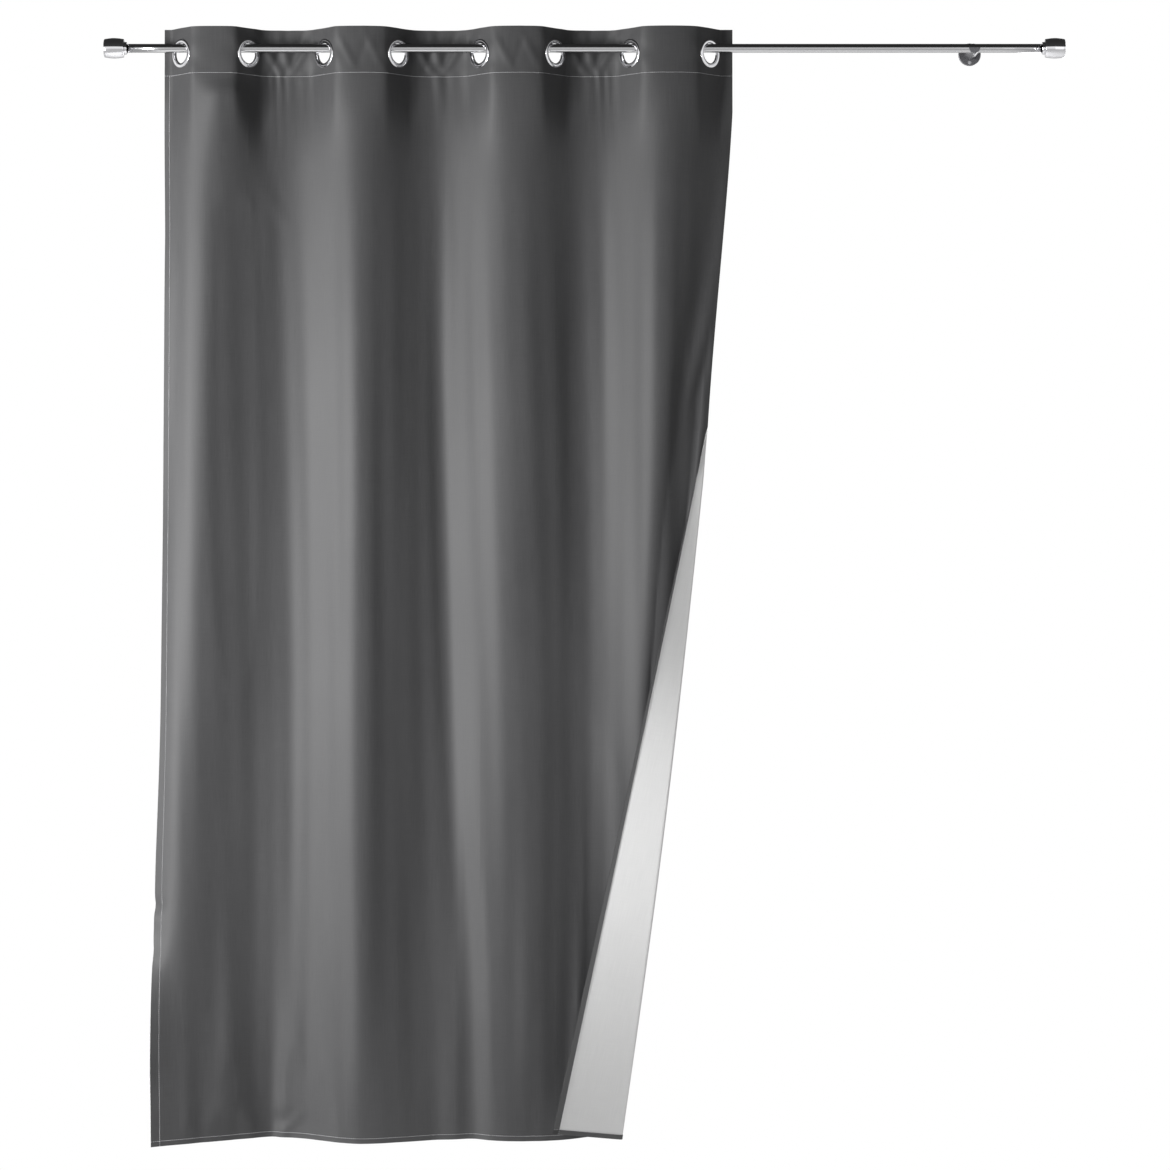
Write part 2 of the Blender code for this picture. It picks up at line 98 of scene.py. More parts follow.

# Making up: hems, stitching, and the turned corner's flat width along the foot.
HEADER_HEM = 0.100
BOTTOM_HEM = 0.011
HEM_THICKNESS = 0.0006
LAYER_GAP = 0.0001
STITCH_LENGTH = 0.0034
STITCH_PITCH = 0.0044
THREAD_RADIUS = 0.00042
FLAP_WIDTH = 0.185

EYELET_OUTER = EYELET_BORE / 2 + EYELET_FLANGE
EYELETS = [FIRST_EYELET + sum(EYELET_PITCHES[:k]) for k in range(len(EYELET_PITCHES) + 1)]
CRESTS = [(a + b) / 2 for a, b in zip(EYELETS, EYELETS[1:])]
LEFT_EDGE = EYELETS[0] - LEFT_MARGIN
RIGHT_EDGE = EYELETS[-1] + RIGHT_MARGIN
BOTTOM_Z = TOP_Z - DROP
CREASE_TOP_Z = TOP_Z - CREASE_START_DROP
CORNER_Z = BOTTOM_Z + CORNER_LIFT
HEM_MIDDLE = LINING_MIDDLE - LINING_THICKNESS / 2 - HEM_THICKNESS / 2 - LAYER_GAP
HEM_BACK = HEM_MIDDLE - HEM_THICKNESS / 2
FACE_FRONT = FACE_MIDDLE + FACE_THICKNESS / 2


def smooth(x, low, high):
    """0 up to low, 1 from high on, and an even rise between them."""
    t = np.clip((x - low) / (high - low), 0.0, 1.0)
    return t * t * (3 - 2 * t)


# ---- Materials ----

class Nodes:
    """A node tree and short ways to add to it."""

    def __init__(self, tree):
        self.tree = tree

    def give(self, socket, value):
        """Gives an input a value, or feeds it from another node's output."""
        if isinstance(value, bpy.types.NodeSocket):
            self.tree.links.new(value, socket)
        else:
            socket.default_value = value

    def add(self, kind, inputs, **settings):
        """A new node with its inputs given and its settings made."""
        node = self.tree.nodes.new(kind)
        for key, value in settings.items():
            setattr(node, key, value)
        for name, value in inputs.items():
            self.give(node.inputs[name], value)
        return node


class Shader(Nodes):
    """A Principled material and short ways to feed it."""

    def __init__(self, name, metallic=0.0, roughness=0.5):
        self.material = bpy.data.materials.new(name)
        self.material.use_nodes = True
        super().__init__(self.material.node_tree)
        self.set("Metallic", metallic)
        self.set("Roughness", roughness)

    def set(self, name, value):
        """Gives one of the Principled inputs."""
        self.give(self.tree.nodes["Principled BSDF"].inputs[name], value)

    def cut_place(self, scale):
        """The place on the flat cut, in metres, times a scale: threads follow the cut."""
        place = self.add("ShaderNodeUVMap", {}, uv_map="cut").outputs["UV"]
        return self.add("ShaderNodeMapping", {"Vector": place, "Scale": scale}).outputs["Vector"]

    def object_place(self, scale):
        """The place on the piece, in metres, times a scale."""
        place = self.add("ShaderNodeTexCoord", {}).outputs["Object"]
        return self.add("ShaderNodeMapping", {"Vector": place, "Scale": scale}).outputs["Vector"]

    def noise(self, place, detail, roughness):
        """Clouds, one to each unit of a place that is scaled already."""
        inputs = {"Vector": place, "Scale": 1.0, "Detail": detail, "Roughness": roughness}
        return self.add("ShaderNodeTexNoise", inputs).outputs["Fac"]

    def wave(self, place, direction, pitch):
        """Slightly uneven bands across a direction, a pitch apart."""
        inputs = {"Vector": place, "Scale": math.pi / 10 / pitch, "Distortion": 0.4}
        return self.add("ShaderNodeTexWave", inputs, bands_direction=direction).outputs["Fac"]

    def two_tone(self, fac, low_stop, low, high_stop, high):
        """One colour up to the low stop, easing into the other at the high stop, as the base colour."""
        node = self.add("ShaderNodeValToRGB", {"Fac": fac})
        for element, stop, color in zip(node.color_ramp.elements, (low_stop, high_stop), (low, high)):
            element.position = stop
            element.color = (*color, 1.0)
        self.set("Base Color", node.outputs["Color"])

    def rough(self, fac, low, high):
        """Roughness that runs from low to high with a value."""
        node = self.add("ShaderNodeMapRange", {"Value": fac, "To Min": low, "To Max": high})
        self.set("Roughness", node.outputs["Result"])

    def math(self, operation, a, b):
        """Two values put together."""
        return self.add("ShaderNodeMath", {0: a, 1: b}, operation=operation).outputs["Value"]

    def mix(self, a, share, b):
        """A share of the first value and the rest of the second."""
        return self.math("ADD", self.math("MULTIPLY", a, share), self.math("MULTIPLY", b, 1.0 - share))

    def bump(self, height, strength, distance):
        """Fine relief from a height."""
        node = self.add("ShaderNodeBump", {"Height": height, "Strength": strength, "Distance": distance})
        self.set("Normal", node.outputs["Normal"])


def darker(color, share):
    """A colour at a share of its brightness."""
    return tuple(c * share for c in color)


def woven(name, dark, light, roughness, thread, sheen, relief):
    """Cloth of fine crossed threads, with slubs, slow changes of shade and a soft sheen."""
    cloth = Shader(name)
    threads = cloth.cut_place((1.0, 1.0, 1.0))
    warp = cloth.wave(threads, "X", thread)
    weft = cloth.wave(threads, "Y", thread)
    weave = cloth.math("MULTIPLY", warp, weft)
    slubs_down = cloth.noise(cloth.cut_place((900.0, 16.0, 1.0)), 2.0, 0.6)
    slubs_across = cloth.noise(cloth.cut_place((22.0, 1000.0, 1.0)), 2.0, 0.6)
    slubs = cloth.mix(slubs_down, 0.6, slubs_across)
    clouds = cloth.noise(cloth.cut_place((5.0, 2.0, 1.0)), 3.0, 0.5)
    cloth.two_tone(cloth.mix(slubs, 0.65, clouds), 0.36, dark, 0.64, light)
    cloth.rough(slubs, roughness - 0.08, roughness + 0.08)
    cloth.bump(cloth.math("ADD", weave, cloth.math("MULTIPLY", slubs, 0.8)), relief, 0.0002)
    cloth.set("Sheen Weight", sheen)
    cloth.set("Sheen Roughness", 0.45)
    cloth.set("Specular IOR Level", 0.22)
    return cloth.material


def polished(name, color, roughness, smudge):
    """Polished plating with faint cloudy smudges and hairlines."""
    metal = Shader(name, 1.0, roughness)
    clouds = metal.noise(metal.object_place((90.0, 90.0, 90.0)), 4.0, 0.6)
    metal.two_tone(clouds, 0.35, darker(color, 0.93), 0.7, color)
    metal.rough(clouds, roughness, roughness + smudge)
    fine = metal.noise(metal.object_place((1400.0, 1400.0, 1400.0)), 2.0, 0.5)
    metal.bump(fine, 0.02, 0.0001)
    return metal.material


def brushed(name, color, roughness):
    """Satin plating, drawn along the rod: fine lines run lengthways."""
    metal = Shader(name, 1.0, roughness)
    lines = metal.noise(metal.object_place((5.0, 2600.0, 2600.0)), 2.0, 0.5)
    metal.two_tone(lines, 0.3, darker(color, 0.93), 0.7, color)
    metal.rough(lines, roughness - 0.05, roughness + 0.08)
    return metal.material


def lacquered(name, color, roughness):
    """Dark satin plating with a fine orange-peel."""
    metal = Shader(name, 0.75, roughness)
    peel = metal.noise(metal.object_place((420.0, 420.0, 420.0)), 3.0, 0.55)
    metal.two_tone(peel, 0.35, darker(color, 0.8), 0.65, color)
    metal.rough(peel, roughness - 0.05, roughness + 0.07)
    metal.bump(peel, 0.10, 0.0002)
    return metal.material


def matt(name, color, roughness):
    """The studio floor: pale, matt and faintly mottled, and glowing a little."""
    surface = Shader(name, 0.0, roughness)
    mottle = surface.noise(surface.object_place((3.0, 3.0, 3.0)), 4.0, 0.6)
    surface.two_tone(mottle, 0.3, darker(color, 0.97), 0.7, color)
    surface.set("Emission Color", (*color, 1.0))
    surface.set("Emission Strength", 0.6)
    return surface.material


FACE = woven("charcoal_satin", (0.026, 0.026, 0.027), (0.039, 0.039, 0.040), 0.56, 0.00045, 0.06, 0.10)
LINING = woven("pale_lining", (0.55, 0.55, 0.55), (0.61, 0.61, 0.607), 0.75, 0.0006, 0.05, 0.12)
# The hems are the face's charcoal satin, painted lighter than the face: painted light, so that the hem on the
# turned corner shows as bright as lit cloth.
HEM = woven("charcoal_hem_painted_lighter", (0.066, 0.066, 0.067), (0.084, 0.084, 0.085), 0.55, 0.00045, 0.06, 0.12)
THREAD = woven("grey_thread", (0.30, 0.30, 0.31), (0.42, 0.42, 0.43), 0.6, 0.0003, 0.10, 0.10)
CHROME = polished("polished_chrome", (0.80, 0.80, 0.82), 0.05, 0.06)
ROD = brushed("satin_chrome", (0.55, 0.55, 0.56), 0.13)
GUNMETAL = lacquered("dark_gunmetal", (0.15, 0.15, 0.16), 0.34)
ZINC = polished("zinc_plate", (0.58, 0.58, 0.60), 0.26, 0.10)

# Each layer's distance in front of the cloth's middle, its thickness and its material.
FACE_LAYER = (FACE_MIDDLE, FACE_THICKNESS, FACE)
LINING_LAYER = (LINING_MIDDLE, LINING_THICKNESS, LINING)
HEM_LAYER = (HEM_MIDDLE, HEM_THICKNESS, HEM)


# ---- The cloth's middle surface ----

# Flat cloth past each eyelet's flange, towards a crest and towards a side hem.
FLAT_PAST_FLANGE = 0.0015
EDGE_PAST_FLANGE = 0.003
HALF_FOLD_POINTS = 30


def side_of(index):
    """The side that the fold after eyelet number index bows to: forward (-1) or back (+1), in turn."""
    return -1 if index % 2 == 0 else 1


def half_fold(reach, depth):
    """From an eyelet to the crest: straight past the flange, then one curve, level at the crest."""
    flat_end = np.array([math.cos(EYELET_TILT), math.sin(EYELET_TILT)]) * (EYELET_OUTER + FLAT_PAST_FLANGE)
    corner = np.array([depth / math.tan(EYELET_TILT), depth])
    crest = np.array([reach, depth])
    s = np.linspace(0.0, 1.0, HALF_FOLD_POINTS)[:, None]
    return np.vstack([[0.0, 0.0], flat_end * (1 - s) ** 2 + corner * 2 * s * (1 - s) + crest * s * s])


def header_outline():
    """The heading's plan outline from the left edge to the right one: rows of (x, y)."""
    margin_depth = (EYELET_OUTER + EDGE_PAST_FLANGE) * math.sin(EYELET_TILT)
    halves = [half_fold(pitch / 2, pitch * CREST_DEPTH_SHARE) for pitch in EYELET_PITCHES]
    halves = [half_fold(LEFT_MARGIN, margin_depth), *halves, half_fold(RIGHT_MARGIN, margin_depth)]
    points = []
    for k, x in enumerate(EYELETS):
        eyelet = np.array([x, ROD_Y])
        flip = np.array([1.0, side_of(k)])
        points.append(eyelet - halves[k][::-1] * flip)
        points.append(eyelet + halves[k + 1][1:] * flip)
    return np.vstack(points)


def run_along(points):
    """How far along a path each of its points is."""
    return np.concatenate([[0.0], np.cumsum(np.linalg.norm(np.diff(points, axis=0), axis=1))])


OUTLINE = header_outline()
OUTLINE_U = run_along(OUTLINE)
FLAT_WIDTH = OUTLINE_U[-1]
CREST_Y = np.interp(CRESTS, OUTLINE[:, 0], OUTLINE[:, 1])

# The left side hem's swing and flare, and its dents: depth, and place and half height as shares of the drop.
LEFT_SWING = 0.006
LEFT_FLARE = 0.017
LEFT_DENTS = ((0.0022, 0.787, 0.006), (0.0018, 0.828, 0.007))


def crease_x(z):
    """The crease's place along the rod: a line with a slight bow."""
    s = np.clip((CREASE_TOP_Z - z) / (CREASE_TOP_Z - BOTTOM_Z), 0.0, 1.0)
    return CREASE_TOP_X + (CREASE_FOOT_X - CREASE_TOP_X) * s + CREASE_BOW * np.sin(math.pi * s)


def left_edge_x(z):
    """The left side hem's place along the rod."""
    w = (TOP_Z - z) / DROP
    dents = sum(depth * np.exp(-((w - place) / half) ** 2) for depth, place, half in LEFT_DENTS)
    return LEFT_EDGE - LEFT_SWING * smooth(w, 0.1, 0.6) - LEFT_FLARE * smooth(w, 0.60, 0.88) + dents


def right_edge_x(z):
    """The side hem leans in to the crease's top, and below it the crease is the cloth's right side."""
    slant_top = TOP_Z - SLANT_START_DROP
    lean = np.clip((slant_top - z) / (slant_top - CREASE_TOP_Z), 0.0, 1.0)
    above = RIGHT_EDGE + (CREASE_TOP_X - RIGHT_EDGE) * (0.35 * lean + 0.65 * smooth(lean, -0.2, 1.2))
    above = np.where(lean >= 1.0, CREASE_TOP_X, above)
    return np.where(z > CREASE_TOP_Z, above, crease_x(z))


# Each lower fold's crest: its place along the rod and its depth, at five heights down the drop.
FOLD_HEIGHTS = (0.08, 0.30, 0.60, 0.80, 1.00)
LOWER_CRESTS = (
    ((-0.010, -0.126), (-0.024, -0.125), (-0.034, -0.122), (-0.044, -0.124), (-0.056, -0.132)),
    ((0.172, -0.060), (0.168, -0.058), (0.164, -0.060), (0.166, -0.060), (0.180, -0.052)),
    ((0.340, -0.131), (0.340, -0.132), (0.338, -0.133), (0.337, -0.132), (0.342, -0.129)),
    ((0.506, -0.058), (0.506, -0.057), (0.530, -0.058), (0.560, -0.060), (0.582, -0.066)),
    ((0.680, -0.130), (0.682, -0.131), (0.682, -0.130), (0.678, -0.129), (0.696, -0.126)),
    ((0.836, -0.060), (0.826, -0.058), (0.818, -0.060), (0.856, -0.050), (0.872, -0.046)),
    ((1.004, -0.130), (0.985, -0.130), (0.980, -0.128), (0.985, -0.125), (0.990, -0.120)),
)
# How far either side each of these crests is rounded off.
CREST_SOFTNESS = (0.035, 0.085, 0.030, 0.020, 0.090, 0.045, 0.028)

# The side hems' depth, how far forward the left one comes, the crests' wander, and where the folds get free.
EDGE_Y = -0.0705
LEFT_FORWARD = 0.018
LEFT_FOOT_FORWARD = 0.072
CREST_WANDER = 0.003
FREE_FROM = 0.038
FREE_BY = 0.125


def lower_stations(w):
    """The crests' places and depths at each height, with both edges: two arrays, stations by heights."""
    free = smooth(w, 0.08, 0.3)
    xs = [left_edge_x(TOP_Z - w * DROP)]
    ys = [EDGE_Y - LEFT_FORWARD * smooth(w, 0.08, 0.25) - LEFT_FOOT_FORWARD * smooth(w, 0.74, 0.95)]
    for number, crest in enumerate(LOWER_CRESTS):
        places, depths = zip(*crest)
        along = CREST_WANDER * np.sin(2 * math.pi * (1.3 * w + 0.37 * number)) * free
        back = CREST_WANDER * np.sin(2 * math.pi * (0.9 * w + 0.61 * number)) * free
        xs.append(np.interp(w, FOLD_HEIGHTS, places) + along)
        ys.append(np.interp(w, FOLD_HEIGHTS, depths) + back)
    xs.append(np.full_like(w, RIGHT_EDGE))
    ys.append(EDGE_Y + 0.004 * np.sin(3.0 * w))
    return np.array(xs), np.array(ys)


def rounded_distance(distance, reach):
    """The distance's size, with its corner at nothing rounded off within reach."""
    size = np.abs(distance)
    return np.where(size < reach, (size ** 2 + reach ** 2) / (2 * reach), size)


def fold_depth(x, w):
    """How far back the hung cloth's middle lies: the heading's exact outline, easing into free folds.

    Below the heading the folds are flat slopes that meet in crests, each crest with its own roundness."""
    header = np.interp(x, OUTLINE[:, 0], OUTLINE[:, 1])
    xs, ys = lower_stations(w)
    slopes = np.diff(ys, axis=0) / np.diff(xs, axis=0)
    lower = ys[0] + slopes[0] * np.clip(x - xs[0], 0.0, None)
    for k, reach in enumerate(CREST_SOFTNESS):
        distance = x - xs[k + 1]
        turn = slopes[k + 1] - slopes[k]
        lower += turn * (distance + rounded_distance(distance, reach)) / 2
    return header + (lower - header) * smooth(w, FREE_FROM, FREE_BY)


# The crests that bow back and those that bow forward, apart from the first and the last.
BACK_CRESTS = (1, 3, 5)
FRONT_CRESTS = (2, 4)

# The heading's slack at each of them: offset from the crest, slant and height.
BACK_SLACK = ((-0.038, 0.55, 0.0042), (-0.021, -0.40, -0.0036), (-0.004, 0.30, 0.0034),
              (0.014, -0.45, -0.0038), (0.033, -0.60, 0.0042))
FRONT_SLACK = ((-0.030, 0.50, 0.0018), (0.004, -0.35, -0.0016), (0.030, 0.45, 0.0018))

# Lone rises and dents: height, place along the rod and up, half width, half height and slant. First the kink
# beside the first front fold, then three along the left side hem and three above the foot.
LONE_RISES = (
    (0.0040, 0.158, -0.345, 0.020, 0.045, 0.55),
    (-0.0040, -0.098, -1.850, 0.014, 0.012, 0.0),
    (0.0030, -0.100, -1.880, 0.012, 0.016, 0.0),
    (-0.0035, -0.103, -1.965, 0.012, 0.012, 0.0),
    (0.0034, 0.190, -2.325, 0.012, 0.020, -0.9),
    (-0.0045, 0.150, -2.320, 0.055, 0.018, 0.3),
    (0.0060, 0.080, -2.280, 0.090, 0.030, 0.2),
)


def bump_at(x, z, centre_x, centre_z, half_x, half_z, slant):
    """A soft oval rise about a place, leaning by slant metres along the rod for each metre down."""
    dz = z - centre_z
    dx = x - centre_x + slant * dz
    return np.exp(-(dx / half_x) ** 2 - (dz / half_z) ** 2)


def gathers(x, depth):
    """Slack under the heading's stitching, where each back fold gathers."""
    below = np.clip(depth - HEADER_HEM, 0.0, None)
    fade = np.exp(-below / 0.055) * smooth(depth, 0.080, 0.104)
    rise = np.zeros_like(x)
    for k in BACK_CRESTS:
        near = np.exp(-((x - CRESTS[k]) / 0.048) ** 2)
        uneven = 0.6 + 0.4 * np.sin(83 * x + k)
        ripple = np.sin(2 * math.pi * (x / 0.0240 + 0.50 * np.sin(31 * x + 2 * k) - 1.5 * below))
        rise += 0.0026 * near * fade * uneven * ripple
    return rise


def eyelet_puckers(x, z, w):
    """Puckers that run out from the eyelets through the heading."""
    fade = 1 - smooth(w, 0.045, 0.07)
    rise = np.zeros_like(x)
    for k, eyelet in enumerate(EYELETS):
        dx = (x - eyelet) / math.cos(EYELET_TILT)
        dz = z - EYELET_Z
        r = np.hypot(dx, dz)
        reach = smooth(r, EYELET_OUTER + 0.001, EYELET_OUTER + 0.012) * np.exp(-r / 0.040)
        rise += 0.0032 * reach * np.sin(5 * np.arctan2(dz, dx) + 1.7 * k) * fade
    return rise


def slack_folds(x, w):
    """Long, faint slack folds down the cloth, wide ones and narrow ones."""
    wide = 0.00045 * np.sin(2 * math.pi * (x / 0.071 + 0.55 * w + 0.30 * np.sin(7 * w)))
    narrow = 0.00025 * np.sin(2 * math.pi * (x / 0.043 - 0.8 * w + 0.25 * np.sin(5 * w + 11 * x)))
    return smooth(w, 0.06, 0.2) * (wide + narrow)


def flat_top(x, depth):
    """The first front fold is flat-topped under the heading, and its right side widens as it dies away."""
    shoulder = 0.060 + 0.22 * np.clip(depth - HEADER_HEM, 0.0, 0.3)
    across = smooth(x, -0.015, 0.045) * (1 - smooth(x, shoulder, shoulder + 0.050))
    return 0.0130 * across * smooth(depth, HEADER_HEM, 0.150) * (1 - smooth(depth, 0.240, 0.430))


def heading_slack(x, z, depth):
    """The heading's own slack, drawn up between the eyelets, most where the folds bow back."""
    rise = np.zeros_like(x)
    for crests, slack, centre_z, half_z in ((BACK_CRESTS, BACK_SLACK, -0.012, 0.045),
                                            (FRONT_CRESTS, FRONT_SLACK, -0.010, 0.040)):
        for k in crests:
            for offset, slant, height in slack:
                rise += height * bump_at(x, z, CRESTS[k] + offset, centre_z, 0.0080, half_z, slant)
    return rise * (1 - smooth(depth, 0.085, HEADER_HEM))


def wrinkles(x, z):
    """Small forms on the folds, forward as a plus: gathers, puckers, slack, dents and kinks."""
    depth = TOP_Z - z
    w = depth / DROP
    rise = gathers(x, depth) + eyelet_puckers(x, z, w) + slack_folds(x, w)
    rise += flat_top(x, depth) + heading_slack(x, z, depth)
    for height, *form in LONE_RISES:
        rise += height * bump_at(x, z, *form)
    return rise


# The grid's column spacing, and its rows in the heading and from there to the bottom hem.
COLUMN_SPACING = 0.0052
HEADER_ROWS = 19
LOWER_ROWS = 215

# Near the foot the left folds kick back, and the hem is a little higher at the back folds.
FOOT_KICK = 0.016
HEM_RISE = 0.10


def column_places():
    """The columns' places along the rod in the heading, and which of them are on an eyelet's line."""
    stops = [LEFT_EDGE, *EYELETS, RIGHT_EDGE]
    places = [stops[0]]
    marks = []
    for a, b in zip(stops, stops[1:]):
        count = max(2, round((b - a) / COLUMN_SPACING))
        places += [a + (b - a) * (i + 1) / count for i in range(count)]
        marks.append(len(places) - 1)
    return np.array(places), marks[:-1]


def row_heights():
    """The rows' heights in the flat cloth, close together in the heading and in the bottom hem."""
    header = np.linspace(TOP_Z, TOP_Z - HEADER_HEM, HEADER_ROWS)
    lower = np.linspace(TOP_Z - HEADER_HEM, BOTTOM_Z + BOTTOM_HEM, LOWER_ROWS)
    return np.concatenate([header, lower[1:], [BOTTOM_Z + BOTTOM_HEM / 2, BOTTOM_Z]])


COLUMNS, EYELET_COLUMNS = column_places()
ROWS = row_heights()
HEADER_ROW = HEADER_ROWS - 1
HEM_ROW = len(ROWS) - 3
CREASE_ROW = int(np.argmin(np.abs(ROWS - CREASE_TOP_Z)))
LAST_COLUMN = len(COLUMNS) - 1
LAST_SPAN = len(CRESTS) - 1
SPLIT_X = EYELETS[-2]
SHUT = 1e-5


def hung_grid():
    """The hung cloth's middle as a grid of points, rows by columns. Past the crease the columns close up."""
    x, z = np.meshgrid(COLUMNS, ROWS)
    left = left_edge_x(z)
    right = right_edge_x(z)
    stretch = (EYELETS[0] - left) / LEFT_MARGIN
    x = np.where(x < EYELETS[0], EYELETS[0] - (EYELETS[0] - x) * stretch, x)
    squeeze = np.clip(right - SPLIT_X, 0.0, None) / (RIGHT_EDGE - SPLIT_X)
    x = np.where(x > SPLIT_X, SPLIT_X + (x - SPLIT_X) * squeeze, x)
    x = np.minimum(x, right)
    w = (TOP_Z - z) / DROP
    y = fold_depth(x, w) - wrinkles(x, z)
    y += FOOT_KICK * smooth(w, 0.84, 1.0) * (1 - 0.7 * smooth(x, 0.12, 0.30))
    z = z + (y - ROD_Y) * HEM_RISE * smooth(w, 0.85, 1.0)
    return np.stack([x, y, z], axis=-1)


def grid_normals(points):
    """Unit normals of a grid of points, towards the viewer's side."""
    across = np.gradient(points, axis=1)
    down = np.gradient(points, axis=0)
    normal = np.cross(down, across)
    length = np.linalg.norm(normal, axis=-1, keepdims=True)
    fallback = np.array([0.0, -1.0, 0.0])
    return np.where(length > 1e-12, normal / np.maximum(length, 1e-12), fallback)


def steady_normals(points):
    """Normals of the hung grid. The columns that close up take theirs from beside the crease."""
    normals = grid_normals(points)
    for row_points, row_normals in zip(points, normals):
        shut = np.nonzero(np.diff(row_points[:, 0]) < SHUT)[0]
        if len(shut):
            row_normals[shut[0] - 1:] = row_normals[shut[0] - 2]
    return normals


# Settling: its steps, the most movement kept, the share kept along the rod, and how the cloth is held.
SETTLE_FRAMES = 12
MOST_SETTLE = 0.008
SETTLE_ALONG = 0.5
HELD_FROM_RIGHT = 0.012
HELD_UNDER_HEADER = 0.9
CLOTH_SETTINGS = {
    "quality": 5, "mass": 0.25, "tension_stiffness": 25.0, "compression_stiffness": 12.0,
    "shear_stiffness": 8.0, "bending_stiffness": 2.5, "air_damping": 3.0, "vertex_group_mass": "held",
    "pin_stiffness": 4.0,
}


def held_weights(points):
    """How firmly each point is held: fast in the heading and at the right side, and less on the way down."""
    x = points[..., 0]
    z = points[..., 2]
    held = HELD_UNDER_HEADER * (1 - smooth(TOP_Z - z, HEADER_HEM, 3 * HEADER_HEM))
    held[z > TOP_Z - HEADER_HEM] = 1.0
    held[x > right_edge_x(z) - HELD_FROM_RIGHT] = 1.0
    return held


def settling_object(points):
    """An object made from a grid, its points, and the number of the point at each place of the grid. The
    columns that close up at the crease share one point in each row."""
    height, width = points.shape[:2]
    places, first, index = np.unique(np.round(points.reshape(-1, 3), 5), axis=0, return_index=True,
                                     return_inverse=True)
    index = index.reshape(height, width)
    corners = np.stack([index[:-1, :-1], index[1:, :-1], index[1:, 1:], index[:-1, 1:]], axis=-1)
    faces = [list(dict.fromkeys(quad)) for quad in corners.reshape(-1, 4).tolist()]
    mesh = bpy.data.meshes.new("settling")
    mesh.from_pydata(places.tolist(), [], [face for face in faces if len(face) > 2])
    obj = bpy.data.objects.new("settling", mesh)
    bpy.context.scene.collection.objects.link(obj)
    group = obj.vertex_groups.new(name="held")
    for number, weight in enumerate(held_weights(points).reshape(-1)[first]):
        if weight > 0.0:
            group.add([number], float(weight), "REPLACE")
    return obj, places, index


def simulate(obj):
    """Where an object's points are after hanging for a few steps. The object is removed."""
    cloth = obj.modifiers.new("settle", "CLOTH")
    for key, value in CLOTH_SETTINGS.items():
        setattr(cloth.settings, key, value)
    cloth.collision_settings.use_collision = False
    cloth.point_cache.frame_start = 1
    cloth.point_cache.frame_end = SETTLE_FRAMES
    scene = bpy.context.scene
    for number in range(1, SETTLE_FRAMES + 1):
        scene.frame_set(number)
    evaluated = obj.evaluated_get(bpy.context.evaluated_depsgraph_get())
    settled = np.empty(3 * len(evaluated.data.vertices))
    evaluated.data.vertices.foreach_get("co", settled)
    scene.frame_set(1)
    bpy.data.objects.remove(obj, do_unlink=True)
    return settled.reshape(-1, 3)


def every_other(count):
    """Every second number below count, and the last one."""
    return np.unique(np.append(np.arange(0, count, 2), count - 1))


def filled_in(values, known, count):
    """Rows of values that are known at some numbers, filled in at every number below count."""
    place = np.interp(np.arange(count), known, np.arange(len(known)))
    low = np.minimum(place.astype(int), len(known) - 2)
    share = (place - low)[:, None, None]
    return values[low] * (1 - share) + values[low + 1] * share


def settle(points):
    """Lets the hung cloth settle under its own weight. A coarse copy is simulated, and its movement, kept
    small, is handed to the fine grid."""
    rows = every_other(len(ROWS))
    columns = every_other(len(COLUMNS))
    obj, places, index = settling_object(points[np.ix_(rows, columns)])
    moved = (simulate(obj) - places)[index]
    moved[..., 0] *= SETTLE_ALONG
    moved[..., 2] = 0.0
    size = np.linalg.norm(moved, axis=-1, keepdims=True)
    moved *= np.minimum(1.0, MOST_SETTLE / np.maximum(size, 1e-9))
    moved = filled_in(moved, rows, len(ROWS))
    moved = filled_in(moved.swapaxes(0, 1), columns, len(COLUMNS)).swapaxes(0, 1)
    return points + moved


HUNG = hung_grid()
HUNG = settle(HUNG)
HUNG_NORMALS = steady_normals(HUNG)
CUT_U = np.interp(COLUMNS, OUTLINE[:, 0], OUTLINE_U)


# ---- The turned-over corner ----

ROLL_STEPS = 8
FLAP_ROWS = 150
FLAP_COLUMNS = 24

# The roll's radius down the crease and at its top, the free hem's lift off the cloth, and the flap's ripple.
ROLL_RADIUS = 0.0036
ROLL_TOP_RADIUS = 0.0012
FREE_HEM_LIFT = 0.002
FLAP_RIPPLE = 0.00048


def hung_y(x, z):
    """How far back the settled cloth lies at places on it, read off the grid row by row."""
    result = np.empty(len(z))
    row_place = np.interp(-z, -ROWS, np.arange(len(ROWS)))
    for i, (xi, place) in enumerate(zip(x, row_place)):
        low = min(int(place), len(ROWS) - 2)
        share = place - low
        above = np.interp(xi, HUNG[low, :, 0], HUNG[low, :, 1])
        below = np.interp(xi, HUNG[low + 1, :, 0], HUNG[low + 1, :, 1])
        result[i] = above + (below - above) * share
    return result


def taut_over(x, y):
    """The depths of a cloth pulled straight across places with these depths, touching only the foremost."""
    kept = []
    for i in range(len(x)):
        while len(kept) > 1:
            a, b = kept[-2], kept[-1]
            if (y[b] - y[a]) * abs(x[i] - x[a]) < (y[i] - y[a]) * abs(x[b] - x[a]):
                break
            kept.pop()
        kept.append(i)
    order = kept if x[-1] > x[0] else kept[::-1]
    return np.interp(x, x[order], y[order])


